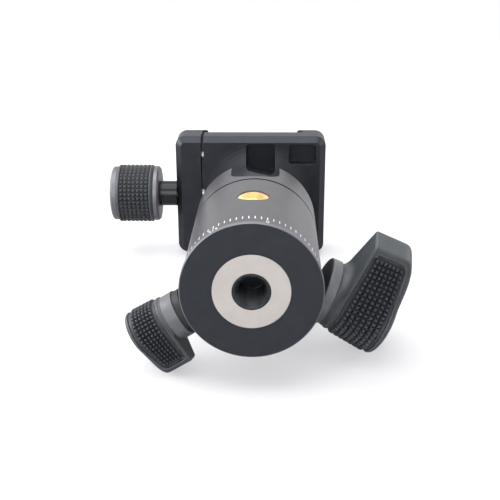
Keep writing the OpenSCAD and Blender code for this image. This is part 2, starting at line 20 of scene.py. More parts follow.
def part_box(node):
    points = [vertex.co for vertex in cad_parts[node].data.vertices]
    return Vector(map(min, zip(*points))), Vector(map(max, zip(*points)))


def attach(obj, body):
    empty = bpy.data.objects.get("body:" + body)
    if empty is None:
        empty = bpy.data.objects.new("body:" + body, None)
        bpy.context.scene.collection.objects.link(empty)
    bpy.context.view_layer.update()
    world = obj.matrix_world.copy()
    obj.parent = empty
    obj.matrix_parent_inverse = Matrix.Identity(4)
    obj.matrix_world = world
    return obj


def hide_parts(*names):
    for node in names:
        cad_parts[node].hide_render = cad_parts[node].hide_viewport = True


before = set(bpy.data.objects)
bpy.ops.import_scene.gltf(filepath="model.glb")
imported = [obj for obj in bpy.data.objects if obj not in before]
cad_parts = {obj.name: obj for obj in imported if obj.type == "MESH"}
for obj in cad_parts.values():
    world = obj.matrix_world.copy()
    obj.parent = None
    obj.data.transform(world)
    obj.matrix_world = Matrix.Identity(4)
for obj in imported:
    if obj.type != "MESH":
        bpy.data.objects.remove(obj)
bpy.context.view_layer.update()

# %% [markdown]
# ## Units and small helpers
# Sizes are written in millimetres, as on a drawing, and turned into metres where a mesh is made.
# Colours are written as the eye reads them on a screen, from 0 to 255, and turned into the linear
# values that a shader wants.

# %% Units, colours and mixing
MM = 0.001


def mm(point):
    """A point in millimetres as a vector in metres."""
    return Vector(point) * MM


def screen_colour(red, green, blue):
    """A screen colour from 0 to 255 as the linear colour of a shader."""

    def linear(value):
        value /= 255
        return value / 12.92 if value <= 0.04045 else ((value + 0.055) / 1.055) ** 2.4

    return (linear(red), linear(green), linear(blue), 1.0)


def mix(low, high, share):
    return low + (high - low) * share


def limit(value, low=0.0, high=1.0):
    return max(low, min(high, value))


print("a mid grey of 128 is", round(screen_colour(128, 128, 128)[0], 3), "in linear light")

# %% [markdown]
# ## Finishes
# Every finish is one Principled shader with fine detail fed into its colour, roughness and normal.
# The detail is worked out from the object's own coordinates, so it keeps its real size and moves
# with the piece. An image would do too, but it needs unwrapping and gets blurred close up.

# %% Shader helpers


def add_node(material, kind, settings=None, **inputs):
    """Adds a shader node. Inputs are named with _ for a space, and a socket given as one is linked."""
    made = material.node_tree.nodes.new(kind)
    for key, value in (settings or {}).items():
        setattr(made, key, value)
    for key, value in inputs.items():
        socket = made.inputs[int(key[1:])] if key[1:].isdigit() else made.inputs[key.replace("_", " ")]
        if isinstance(value, bpy.types.NodeSocket):
            material.node_tree.links.new(value, socket)
        else:
            socket.default_value = value
    return made


def new_finish(name, metallic, roughness, **shader_values):
    """A material with its Principled shader's plain values set on its own sockets."""
    material = bpy.data.materials.new(name)
    material.use_nodes = True
    shader = material.node_tree.nodes["Principled BSDF"]
    shader.inputs["Metallic"].default_value = metallic
    shader.inputs["Roughness"].default_value = roughness
    for key, value in shader_values.items():
        shader.inputs[key.replace("_", " ")].default_value = value
    return material, shader


print("add_node and new_finish are ready")

# %% [markdown]
# ### Patterns
# Real surfaces are never one flat tone. Noise worked out in space gives marks of a known size, and
# two small helpers stretch its values and blend colours by them.

# %% Patterns for finishes


def noise(material, size, detail=3.0, stretch=(1, 1, 1)):
    """A noise pattern whose marks are about size millimetres wide."""
    place = add_node(material, "ShaderNodeTexCoord").outputs["Object"]
    mapped = add_node(material, "ShaderNodeMapping", Vector=place, Scale=stretch).outputs["Vector"]
    return add_node(
        material, "ShaderNodeTexNoise", Vector=mapped, Scale=1 / (size * MM), Detail=detail, Roughness=0.6
    ).outputs["Fac"]


def remap(material, value, low, high, to_low, to_high):
    return add_node(
        material, "ShaderNodeMapRange", Value=value, From_Min=low, From_Max=high, To_Min=to_low, To_Max=to_high
    ).outputs["Result"]


def blend_colours(material, share, first, second):
    return add_node(
        material, "ShaderNodeMix", {"data_type": "RGBA"}, Factor=share, _6=first, _7=second
    ).outputs[2]


print("patterns: noise, remap and blend_colours")

# %% [markdown]
# ### Edges, mottling and grain
# Real machined edges are never quite sharp: they catch thin lines of light and are the first to be
# rubbed pale. The meshes could be bevelled, but the frame's meshes stay as they are. So a Bevel node
# rounds the edges in the shading alone, and where its rounded direction turns away from the plain
# one there must be an edge. That also tells the finish where to put its pale edge colour, which
# stands both for rubbing and for a painted highlight along the edge.

# %% Dress a material
NOISE_LOW, NOISE_HIGH = 0.35, 0.65
FINE_LOW, FINE_HIGH = 0.3, 0.7
ROUGH_SWING = 0.1


def edge_share(material, width, strength):
    """1 on hard outer edges and 0 on flats: how far a rounded normal turns from the plain one."""
    round_normal = add_node(material, "ShaderNodeBevel", {"samples": 4}, Radius=width * MM).outputs["Normal"]
    plain = add_node(material, "ShaderNodeNewGeometry").outputs["Normal"]
    same = add_node(material, "ShaderNodeVectorMath", {"operation": "DOT_PRODUCT"}, _0=round_normal, _1=plain)
    return remap(material, same.outputs["Value"], 0.98, 0.8, 0.0, strength), round_normal


def dress(material, shader, colour, wear_and_highlight_colour, grain, grain_depth, edge=0.2, wear=0.5, mottle=0.12, blotch=6.0):
    """Colour with slow mottling, pale edges for rubbing and a painted highlight, and a fine grain over rounded
    edges.
    """
    slow = noise(material, blotch, 2.0)
    darker = tuple(c * (1 - mottle) for c in colour[:3]) + (1.0,)
    paler = tuple(c * (1 + mottle) for c in colour[:3]) + (1.0,)
    base = blend_colours(material, remap(material, slow, NOISE_LOW, NOISE_HIGH, 0.0, 1.0), darker, paler)
    wear_and_highlight_share, normal = edge_share(material, edge, wear)
    # Pale edges: partly rubbing, partly a painted highlight along the edge.
    base = blend_colours(material, wear_and_highlight_share, base, wear_and_highlight_colour)
    fine = noise(material, grain, 2.0)
    bump = add_node(
        material, "ShaderNodeBump", Strength=1.0, Distance=grain_depth * MM, Height=fine, Normal=normal
    ).outputs["Normal"]
    rough = shader.inputs["Roughness"].default_value
    links = material.node_tree.links
    links.new(base, shader.inputs["Base Color"])
    smooth, coarse = rough * (1 - ROUGH_SWING), rough * (1 + ROUGH_SWING)
    links.new(remap(material, fine, FINE_LOW, FINE_HIGH, smooth, coarse), shader.inputs["Roughness"])
    links.new(bump, shader.inputs["Normal"])


def finish(name, metallic, roughness, colour, wear_and_highlight_colour, grain, grain_depth, **more):
    """A dressed finish from screen colours. Sizes are in millimetres."""
    material, shader = new_finish(name, metallic, roughness)
    dress(material, shader, screen_colour(*colour), screen_colour(*wear_and_highlight_colour), grain, grain_depth, **more)
    return material, shader


# The pale edges stand for rubbing and for a painted highlight.
print("a dressed finish has mottling, worn edges, grain and a roughness that swings by", ROUGH_SWING)

# %% [markdown]
# ### Places on a piece
# Some finishes paint light or shade at a known place, such as a highlight on a rim or shade in a
# groove. A small extra piece could carry the other colour there. A mask worked out from the point's
# place does it without any new seam.

# %% Masks by place


def tint(material, shader, share, colour):
    """Blends one more colour over what already colours the shader, by a share from 0 to 1."""
    base = shader.inputs["Base Color"]
    blended = blend_colours(material, share, base.links[0].from_socket, colour)
    material.node_tree.links.new(blended, base)


def distance_from(material, centre, keep):
    """How far a point lies from a centre, counting only the axes that keep names with 1."""
    place = add_node(material, "ShaderNodeTexCoord").outputs["Object"]
    offset = add_node(material, "ShaderNodeVectorMath", {"operation": "SUBTRACT"}, _0=place, _1=centre)
    flat = add_node(
        material, "ShaderNodeVectorMath", {"operation": "MULTIPLY"}, _0=offset.outputs["Vector"], _1=keep
    )
    length = {"operation": "LENGTH"}
    return add_node(material, "ShaderNodeVectorMath", length, _0=flat.outputs["Vector"]).outputs["Value"]


print("masks: tint by a share, distance_from a centre")

# %% [markdown]
# ## The housing's grey
# The housing, the collar and the stem are aluminium, blasted and anodised. Anodising is a thin dyed
# layer on metal: it keeps a soft metal sheen, with a very fine grain. A half metallic, half rough
# shader gives that sheen without the mirror look of bare metal.
#
# A narrow groove runs between the housing and the collar. In the picture it is only a pixel or two
# wide, so its own shadow looks weak. The finish paints shade there: it compares a point's height
# with the groove's, and colours the surface nearly black a little beyond the groove's two edges.

# %% Housing grey, with painted shade in the groove
GROOVE_H, GROOVE_SHADE = 0.65, 0.3

body_grey, shader = finish(
    "anodised_body", 0.75, 0.36, (101, 100, 105), (150, 149, 154), 0.2, 0.008, wear=0.15, mottle=0.04
)

groove_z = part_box("housing")[1].z + GROOVE_H / 2 * MM
place = add_node(body_grey, "ShaderNodeTexCoord").outputs["Object"]
height = add_node(body_grey, "ShaderNodeSeparateXYZ", Vector=place).outputs["Z"]
reach = (GROOVE_H / 2 + GROOVE_SHADE) * MM
compare = {"operation": "COMPARE"}
# Painted shade: nearly black a little beyond both edges of the groove.
groove_painted_shade = add_node(body_grey, "ShaderNodeMath", compare, _0=height, _1=groove_z, _2=reach).outputs[0]
tint(body_grey, shader, groove_painted_shade, screen_colour(20, 20, 24))
print("the groove is dark around z =", round(groove_z / MM, 2), "mm")

# %% [markdown]
# ## The dark metal
# The clamp, its jaw and the ball have the same layer dyed nearly black. So has the base disc. Its
# outer rim faces the light and shows a hair line of highlight. That line could be a ring of its own;
# it is simpler to let the finish paint the highlight, pale beyond a certain distance from the axis.

# %% Clamp, and base disc with a painted highlight on its rim
RIM_FROM, RIM_TO = 0.35, 0.25

clamp_dark, shader = finish("anodised_clamp", 0.6, 0.42, (48, 51, 57), (100, 102, 112), 0.2, 0.006, mottle=0.06)

disc_dark, shader = finish("anodised_disc", 0.5, 0.42, (47, 50, 57), (96, 98, 106), 0.2, 0.008, mottle=0.07)
disc_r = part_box("base_disc")[1].x
from_axis = distance_from(disc_dark, (0.0, 0.0, 0.0), (1.0, 1.0, 0.0))
# Painted highlight: the disc turns pale near its rim.
rim_painted_highlight = remap(disc_dark, from_axis, disc_r - RIM_FROM * MM, disc_r - RIM_TO * MM, 0.0, 1.0)
tint(disc_dark, shader, rim_painted_highlight, screen_colour(122, 121, 128))
print("the disc's rim turns pale", RIM_FROM, "mm from its edge")

# %% [markdown]
# ## The clamp knob's metal
# The small turned pieces of the clamp knob are anodised too: a smooth black spacer, which is why its
# roughness is low and it shows a clear streak of light, and a paler core and cap.

# %% Spacer and cap
spacer_black, shader = finish("anodised_spacer", 0.7, 0.22, (42, 44, 46), (90, 92, 98), 0.3, 0.003, mottle=0.05)

cap_grey, shader = finish(
    "anodised_cap", 0.7, 0.45, (122, 120, 126), (180, 178, 184), 0.25, 0.006, wear=0.3, mottle=0.05
)
print("anodised finishes:", [m.name for m in (body_grey, clamp_dark, disc_dark, spacer_black, cap_grey)])

# %% [markdown]
# ## Steel, bronze and the washer's turning marks
# The steel ring round the socket was faced on a lathe, so it shows fine rings round the pan axis.
# Cut as real ridges they would need thousands of faces. A Wave texture set to rings about Z gives
# them as a bump, with a slow noise that bends them a little.

# %% Turning marks
RINGS_PER_UNIT = math.tau / 20


def turning_marks(material, shader, pitch, depth):
    """Fine rings round the Z axis, a pitch in millimetres apart."""
    place = add_node(material, "ShaderNodeTexCoord").outputs["Object"]
    rings = add_node(
        material,
        "ShaderNodeTexWave",
        {"wave_type": "RINGS", "rings_direction": "Z"},
        Vector=place,
        Scale=RINGS_PER_UNIT / (pitch * MM),
        Distortion=1.2,
        Detail=2.0,
    ).outputs["Fac"]
    old = shader.inputs["Normal"].links[0].from_socket
    bump = add_node(
        material, "ShaderNodeBump", Strength=1.0, Distance=depth * MM, Height=rings, Normal=old
    ).outputs["Normal"]
    material.node_tree.links.new(bump, shader.inputs["Normal"])


washer_steel, shader = finish(
    "faced_steel", 0.55, 0.42, (210, 203, 199), (236, 232, 229), 0.3, 0.004, mottle=0.03
)
turning_marks(washer_steel, shader, 0.22, 0.004)
print("turning marks on", washer_steel.name)

# %% [markdown]
# ## The other metals
# Screws and pins are bright steel, the spindle and its ring a duller one, and the bushes are
# blackened. The wedge and the brake shoe rub on steel, so they are bronze. Bare metal is fully
# metallic in the shader, and its colour then tints its reflections.

# %% Steel and bronze
plain_steel, shader = finish("plain_steel", 1.0, 0.3, (176, 176, 180), (220, 220, 222), 0.25, 0.004)

bearing_steel, shader = finish("bearing_steel", 1.0, 0.35, (150, 150, 154), (200, 200, 204), 0.3, 0.004)

black_steel, shader = finish(
    "black_oxide_steel", 0.8, 0.38, (52, 54, 58), (150, 152, 156), 0.25, 0.006, wear=0.8
)

bronze, shader = finish("bronze", 1.0, 0.35, (196, 158, 98), (226, 196, 140), 0.3, 0.005)
print("bare metals:", [m.name for m in (plain_steel, bearing_steel, black_steel, bronze)])

# %% [markdown]
# ## Moulded plastic and painted hubs
# The wing knobs are moulded in a dark plastic with a fine texture from their mould. Their edges are
# pale, partly rubbed by hands and partly a painted highlight along the rims. The hubs are painted
# metal, a shade paler. The neck behind each hub, with the bore and the hub's inner face, is near
# black: painted shade for the gap between hub and housing. The three differ only in numbers, so the
# same helper dresses them all.

# %% Plastic and paint, with painted shade on the necks
# The strong pale edges are partly rubbing and partly a painted highlight along the rims.
knob_plastic, shader = finish(
    "moulded_plastic", 0.0, 0.5, (64, 68, 72), (158, 163, 168), 0.28, 0.014, edge=0.5, wear=0.8
)

hub_paint, shader = finish("painted_hub", 0.3, 0.45, (112, 113, 117), (150, 151, 155), 0.3, 0.008, wear=0.3)

# Painted shade: near black for each knob's neck, bore and inner face.
neck_painted_shade, shader = finish("neck_painted_shade", 0.0, 0.5, (30, 31, 34), (52, 54, 58), 0.25, 0.006)
print("knob finishes:", [m.name for m in (knob_plastic, hub_paint, neck_painted_shade)])

# %% [markdown]
# ## Rubber
# The rubber is nearly black and scatters light widely. The tops of its small pyramids are paler
# than the valleys, partly polished by fingers and partly painted light on the tops. Blender's
# Pointiness says how far a point stands out from what is round it, so the finish can find those
# tops by itself.

# %% Rubber with tops rubbed and painted lighter
RUBBED_AND_LIT = 0.8

rubber, shader = finish("rubber", 0.0, 0.5, (24, 26, 31), (60, 64, 70), 0.12, 0.008, edge=0.1, wear=0.3)
pointed = add_node(rubber, "ShaderNodeNewGeometry").outputs["Pointiness"]
# Paler tops: partly rubbing, partly painted light.
tint(rubber, shader, remap(rubber, pointed, 0.5, 0.6, 0.0, RUBBED_AND_LIT), screen_colour(88, 93, 101))
print("rubber tops are", RUBBED_AND_LIT, "of the paler colour")

# %% [markdown]
# ## Bearing plastic and scale paint
# The thin washers and the cup and ring that hold the ball are pale, slippery plastic, which hardly
# shows from outside. The scale is white paint, kept dull so that no reflection hides a line.

# %% Bearing plastic and paint
liner_plastic, shader = finish("bearing_plastic", 0.0, 0.4, (222, 220, 212), (236, 234, 228), 0.3, 0.006)

scale_white, shader = finish("scale_paint", 0.0, 0.6, (246, 246, 244), (250, 250, 250), 0.1, 0.002, edge=0.02)
print("scale paint:", scale_white.name)

# %% [markdown]
# ## The badge
# The badge is a drop of clear resin over amber foil. Real clear resin would need rays that bend
# through it. One amber surface under a glossy coat looks the same and stays clean in every view.
# A painted highlight runs round the drop's rim, where the amber turns pale.

# %% Amber resin
PALE_FROM, PALE_TO, PALE_SHARE = 0.72, 0.98, 0.75

badge_resin, shader = new_finish("badge_resin", 0.15, 0.3, Coat_Weight=1.0, Coat_Roughness=0.06)
badge_low, badge_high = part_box("badge_dome")
badge_r = (badge_high.x - badge_low.x) / 2
from_middle = distance_from(badge_resin, tuple((badge_low + badge_high) / 2), (1.0, 0.0, 1.0))
cloudy = remap(badge_resin, noise(badge_resin, 1.6, 2.0), NOISE_LOW, NOISE_HIGH, 0.0, 1.0)
amber = blend_colours(badge_resin, cloudy, screen_colour(206, 156, 48), screen_colour(232, 190, 92))
badge_resin.node_tree.links.new(amber, shader.inputs["Base Color"])
# Painted highlight: the amber turns pale towards the rim.
badge_rim_highlight = remap(badge_resin, from_middle, badge_r * PALE_FROM, badge_r * PALE_TO, 0.0, PALE_SHARE)
tint(badge_resin, shader, badge_rim_highlight, screen_colour(250, 232, 176))
print("the badge is", round(2 * badge_r / MM, 1), "mm across, finished plain")

# %% [markdown]
# ## Dress the frame's own nodes
# The turned and milled pieces keep the frame's meshes, and only their material slots change. One
# table from finish to names shows at a glance what is made of what.

# %% Give the frame's own nodes their finishes
NODE_FINISH = {
    body_grey: ["housing", "collar", "stem"],
    clamp_dark: ["clamp_body", "jaw", "ball"],
    disc_dark: ["base_disc"],
    spacer_black: ["spacer"],
    cap_grey: ["knob_core", "knob_cap"],
    washer_steel: ["base_washer"],
    plain_steel: [
        "base_screws", "main_screw", "main_clip", "pan_screw", "stem_screw", "guide_pins", "clamp_screw",
    ],
    bearing_steel: ["spindle", "retaining_ring"],
    black_steel: ["main_bush", "pan_bush"],
    bronze: ["lock_wedge", "brake_shoe"],
    liner_plastic: ["pan_washer_low", "pan_washer_top", "ball_liner", "ball_cup"],
    badge_resin: ["badge_foil", "badge_dome"],
}
for material, names in NODE_FINISH.items():
    for name in names:
        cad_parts[name].data.materials.clear()
        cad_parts[name].data.materials.append(material)
print("dressed", sum(len(names) for names in NODE_FINISH.values()), "nodes of the frame")

# %% [markdown]
# ## Meshes from grids
# Every new piece below is a grid of points bent into shape, so one helper makes them all. Modifiers
# on simple shapes could make some of them, but a written grid keeps each size in plain sight. The
# helper joins rows of points with four-sided faces, and marks an edge as sharp only where the faces
# meet at a real corner.

# %% Faces of a grid


def grid_faces(rows, columns, wrap):
    """Faces between neighbouring rows. With wrap, each row is a closed ring."""
    last = columns if wrap else columns - 1
    faces = []
    for row in range(rows - 1):
        near, far = row * columns, (row + 1) * columns
        for c in range(last):
            following = (c + 1) % columns
            faces.append((near + c, near + following, far + following, far + c))
    return faces


print("a ring of 3 by 2 points has", len(grid_faces(2, 3, wrap=True)), "faces")

# %% [markdown]
# ### From points to a piece
# Each piece rides on the body that carries it, takes one of the part's material slots, and may
# stand in for a node of the solid model. One helper says all of that in the same way each time.

# %% Make a piece
SMOOTH_BELOW = math.radians(38)


def make_piece(name, points, faces, finishes, body, stands_for=(), finish_of=None, place=None):
    """A piece from points in millimetres. place moves them into the frame, finish_of picks a face's finish."""
    mesh = bpy.data.meshes.new(name)
    mesh.from_pydata([mm(p) for p in points], [], faces)
    if place is not None:
        mesh.transform(place)
    for finish in finishes:
        mesh.materials.append(finish)
    if finish_of is not None:
        for polygon in mesh.polygons:
            polygon.material_index = finish_of(polygon.index)
    work = bmesh.new()
    work.from_mesh(mesh)
    bmesh.ops.recalc_face_normals(work, faces=work.faces)
    for face in work.faces:
        face.smooth = True
    for edge in work.edges:
        edge.smooth = edge.calc_face_angle(0.0) < SMOOTH_BELOW
    work.to_mesh(mesh)
    work.free()
    piece = bpy.data.objects.new(name, mesh)
    bpy.context.scene.collection.objects.link(piece)
    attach(piece, body)
    if stands_for:
        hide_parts(*stands_for)
    print(f"{name}: {len(mesh.vertices)} points, {len(mesh.polygons)} faces, rides on {body}")
    return piece


print("edges stay smooth below", round(math.degrees(SMOOTH_BELOW)), "degrees")

# %% [markdown]
# ## The wing knobs
# The big wing knob locks the ball and the small one the pan. A wing knob is a round cone drawn out
# to a flat tip, which gives a thumb its leverage. Cut anywhere across its axis, its outline is a
# round back and two small tip corners, joined by straight flanks. So the knob is a stack of such
# outlines: the back and the tip have their own place and radius at each height. Towards the outer
# end the tip draws back into the round part, which then closes as a dome. Sculpting could give the
# same form, but not the same numbers for the rubber that has to fit it.
#
# A point on an outline is named by a number from 0 to 4: 0 is the middle of the tip, 1 where its
# flat ends, 2 where its corner ends, 3 where the flank meets the round back, and 4 the middle of
# the back. Negative numbers run down the other side.

# %% Sizes of the two wing knobs, along their own axes
# Heights run along the screw, from the pan axis outwards. reach and the tip sizes run along the wing.
main_wing = Sizes(
    hub_in=22.7, neck_r=9.7, neck_end=22.9, hub_end=26.3, hub_r=10.5, fillet=2.6, bore=3.02,
    low=28.5, low_at_tip=29.4, lip=1.0, in_r=10.8, out_r=12.8, high=44.4,
    dome_z=44.0, top=48.0, lean=2.0,
    reach=26.1, tip_w=9.1, tip_r=1.0, tip_rim=1.7, tip_high=40.9, tip_fade=5.6, soft=0.6,
    seam_out=44.1, seam_out_at_tip=40.4, pitch=1.62, corner=1.2,
)  # fmt: skip
pan_wing = Sizes(
    hub_in=22.7, neck_r=6.9, neck_end=25.2, hub_end=28.9, hub_r=7.5, fillet=0.9, bore=2.52,
    low=29.6, low_at_tip=29.8, lip=1.1, in_r=7.6, out_r=8.0, high=40.9,
    dome_z=40.5, top=42.8, lean=1.0,
    reach=14.2, tip_w=6.4, tip_r=0.8, tip_rim=1.3, tip_high=38.7, tip_fade=3.3, soft=0.4,
    seam_out=40.5, seam_out_at_tip=38.2, pitch=1.3, corner=1.3,
)  # fmt: skip
print("the big wing reaches", main_wing.reach, "mm and the small one", pan_wing.reach, "mm")

# %% [markdown]
# ### One outline
# At each height the outline needs five numbers: where the round back's middle lies and its radius,
# and where a tip corner lies and its radius. The tip fades into the back by a smooth ramp, so that
# the wing's end has no visible step where the fading starts.

# %% The outline of a wing knob at one height
DOME_LIMIT, FADE_LIMIT, FADE_CURVE = 0.995, 0.97, 1.15


def outline_parts(k, z):
    """At height z: middle and radius of the round back; place along and aside, and radius, of a tip corner."""
    r = mix(k.in_r, k.out_r, limit((z - k.low) / (k.high - k.low)))
    up = limit((z - k.dome_z) / (k.top - k.dome_z), 0.0, DOME_LIMIT)
    r *= math.sqrt(1 - up * up)
    middle = -k.lean * up
    past_tip = k.soft * math.log1p(math.exp(min(60.0, (z - k.tip_high) / k.soft)))
    fade = min(FADE_LIMIT, (past_tip / k.tip_fade) ** FADE_CURVE)
    tip_r = mix(k.tip_r, r / 2, fade)
    along = mix(k.reach - k.tip_r, middle + r - tip_r, fade)
    aside = mix(k.tip_w / 2 - k.tip_r, 0.0, fade)
    return middle, r, along, aside, tip_r


def outline_turn(parts):
    """The angle at which the flank's outward direction stands, from the wing's direction."""
    middle, r, along, aside, tip_r = parts
    span = math.hypot(along - middle, aside)
    return math.atan2(aside, along - middle) + math.acos(limit((r - tip_r) / span, -1.0, 1.0))


flank_turn = outline_turn(outline_parts(main_wing, 36.0))
print("the big knob's flank faces", round(math.degrees(flank_turn)), "degrees aside")

# %% [markdown]
# ### A point on the outline
# The outline number picks one of four parts: the tip's flat, its corner, the flank or the back. On
# a corner or the back the point follows an arc, and on the others a straight line.

# %% A point on the outline


def outline_point(k, z, at, grow=0.0):
    """A point on the outline at height z, moved outwards by grow."""
    parts = outline_parts(k, z)
    middle, r, along, aside, tip_r = parts
    turn = outline_turn(parts)
    part, share = min(3, int(abs(at))), abs(at) - min(3, int(abs(at)))
    if part == 0:
        angle, x, y = 0.0, along + tip_r, aside * share
    elif part == 1:
        angle = turn * share
        x, y = along + tip_r * math.cos(angle), aside + tip_r * math.sin(angle)
    elif part == 2:
        angle = turn
        x = mix(along + tip_r * math.cos(angle), middle + r * math.cos(angle), share)
        y = mix(aside + tip_r * math.sin(angle), r * math.sin(angle), share)
    else:
        angle = mix(turn, math.pi, share)
        x, y = middle + r * math.cos(angle), r * math.sin(angle)
    side = -1 if at < 0 else 1
    return x + grow * math.cos(angle), side * (y + grow * math.sin(angle)), z


print("tip of the big wing:", [round(v, 2) for v in outline_point(main_wing, 36.0, 0)])

# %% [markdown]
# ### Where the rubber starts and ends
# The rubber inlay wraps from the tip down one flank, round the back and up the other flank. Its
# rim at the tip is a fixed distance from the tip, and its inner and outer rims follow the knob's
# edges, which slope a little from the back to the tip. Distances along the wrap are measured at
# mid height, so that the rows of pyramids stay in line from end to end.

# %% The wrap of an inlay
SEAM_CURVE = 2.2


def wrap_of(k):
    """How the inlay runs round the knob at mid height: lengths of its flank and of half the back."""
    z = (k.low + k.high) / 2
    parts = outline_parts(k, z)
    middle, r, along, aside, tip_r = parts
    turn = outline_turn(parts)
    start, end = outline_point(k, z, 2), outline_point(k, z, 2.99999)
    flank = math.dist(start[:2], end[:2])
    skipped = (start[0] - (k.reach - k.tip_rim)) / (start[0] - end[0])
    return Sizes(skipped=skipped, flank=flank * (1 - skipped), whole=flank, back=r * (math.pi - turn))


def wrap_at(wrap, distance):
    """The outline number at a distance from the inlay's first edge, along the surface."""
    half = wrap.flank + wrap.back
    if distance > half:
        return -wrap_at(wrap, 2 * half - distance)
    if distance <= wrap.flank:
        return 2 + wrap.skipped + distance / wrap.whole
    return 3 + (distance - wrap.flank) / wrap.back


def heights_at(k, at):
    """Heights of the knob's inner edge and of the inlay's inner and outer seam at an outline number."""
    toward_tip = limit(outline_point(k, (k.low + k.high) / 2, at)[0] / k.reach)
    low = mix(k.low, k.low_at_tip, toward_tip)
    return low, low + k.lip, mix(k.seam_out, k.seam_out_at_tip, toward_tip**SEAM_CURVE)


main_wrap, pan_wrap = wrap_of(main_wing), wrap_of(pan_wing)
print("the big inlay is", round(2 * (main_wrap.flank + main_wrap.back), 1), "mm long round the knob")

# %% [markdown]
# ### Round corners
# The real inlay's corners are rounded, so that the rubber doesn't peel. A boolean cut would spoil
# the tidy grid. Instead, a point near a corner is drawn in towards the middle of the corner's arc.

# %% Round the corners of the inlay


def round_corner(across, along, wide, long, radius):
    """Moves a point of a rectangle so that the rectangle's corners become round."""
    x, y = min(across, wide - across), min(along, long - along)
    if x >= radius or y >= radius:
        return across, along
    dx, dy = radius - x, radius - y
    shrink = max(dx, dy) / math.hypot(dx, dy)
    x, y = radius - dx * shrink, radius - dy * shrink
    return (x if across <= wide / 2 else wide - x), (y if along <= long / 2 else long - y)


print("a corner point moves to", [round(v, 2) for v in round_corner(0.0, 0.0, 10.0, 10.0, main_wing.corner)])

# %% [markdown]
# ### The moulded body
# The body is one closed skin. Its rows run from the bore in the hub, over the hub and a small groove,
# up a fillet to the wing's inner face, along the flanks and over the dome. Where the inlay lies, the
# skin steps down into a bed, so the seam round the rubber is a real groove with real shadow.

# %% Columns round the knob
BED_WALL = 0.04
BEFORE_BED = -0.25
COLUMN_STEP = 0.8
TIP_COLUMNS = [0.0, 0.5, 1.0, 1.25, 1.5, 1.75, 2.0]


def knob_columns(wrap):
    """Outline numbers of all the columns, each with its distance into the inlay."""
    half = wrap.flank + wrap.back
    steps = round((half - 0.1) / COLUMN_STEP)
    inside = [mix(BED_WALL, half, (i + 1) / steps) for i in range(steps)]
    side = [(at, None) for at in TIP_COLUMNS]
    side += [(wrap_at(wrap, d), d) for d in [BEFORE_BED, 0.0, BED_WALL] + inside]
    other = [(-at, d) for at, d in side[-2:0:-1]]
    return side + other


print("columns round the two knobs:", [len(knob_columns(wrap)) for wrap in (main_wrap, pan_wrap)])

# %% [markdown]
# ### The hub and the fillet
# The hub is a turned ring with a neck behind it and a small groove in front, where the moulded
# wing starts. The neck, the bore and the hub's inner face are near black as painted shade. The hub's
# rings are a short table of radius and height. A quarter round then leads up to the wing's inner
# face; real moulds have it too, because a sharp inner corner would crack.

# %% Rings of the hub
BORE_DEEP, NECK_BEVEL, NECK_EDGE = 2.0, 0.4, 0.1
HUB_BEVEL, HUB_ROUND = 0.3, 0.25
HUB_GROOVE_DEEP, HUB_GROOVE_WIDE, HUB_STEP = 0.5, 0.3, 0.02
FILLET_STEPS, FILLET_INSET = 5, 0.35
NECK_ROWS, HUB_ROWS = 5, 9


def hub_rings(k, low):
    """Radius and height of each ring from the bore outwards. low is where the wing's inner face lies."""
    groove_r, groove_z = k.hub_r - HUB_GROOVE_DEEP, k.hub_end + HUB_GROOVE_WIDE
    rings = [
        (k.bore, k.hub_in + BORE_DEEP), (k.bore, k.hub_in), (k.neck_r - NECK_BEVEL, k.hub_in),
        (k.neck_r, k.hub_in + NECK_EDGE), (k.neck_r, k.neck_end), (k.hub_r - HUB_BEVEL, k.neck_end),
        (k.hub_r, k.neck_end + HUB_BEVEL), (k.hub_r, k.hub_end - HUB_ROUND), (k.hub_r - HUB_ROUND, k.hub_end),
        (groove_r, k.hub_end + HUB_STEP), (groove_r, groove_z),
    ]  # fmt: skip
    for step in range(1, FILLET_STEPS + 1):
        angle = math.radians(90 / FILLET_STEPS * step)
        radius = k.hub_r - FILLET_INSET + k.fillet * (1 - math.cos(angle))
        rings.append((radius, mix(groove_z, low, math.sin(angle))))
    return rings


print("the hub and its fillet have", len(hub_rings(main_wing, main_wing.low)), "rings")

# %% [markdown]
# ### The wing and its bed
# Past the inner edge, a column runs up the flank, steps down into the bed, crosses it and comes out
# again. The bed's corners are rounded by moving its points, in the same way as the rubber's. Past
# the bed the column runs over the dome, where the rows stand closer together.

# %% One column of the knob
INLAY_DEPTH = 0.9
EDGE_ROUND, SEAM_EDGE, SEAM_MARGIN = 0.35, 0.12, 0.25
BED_STEPS, DOME_STEPS = 12, 14
DOME_CLOSING = [(0.75, 0.16), (0.4, 0.03), (0.12, 0.0)]


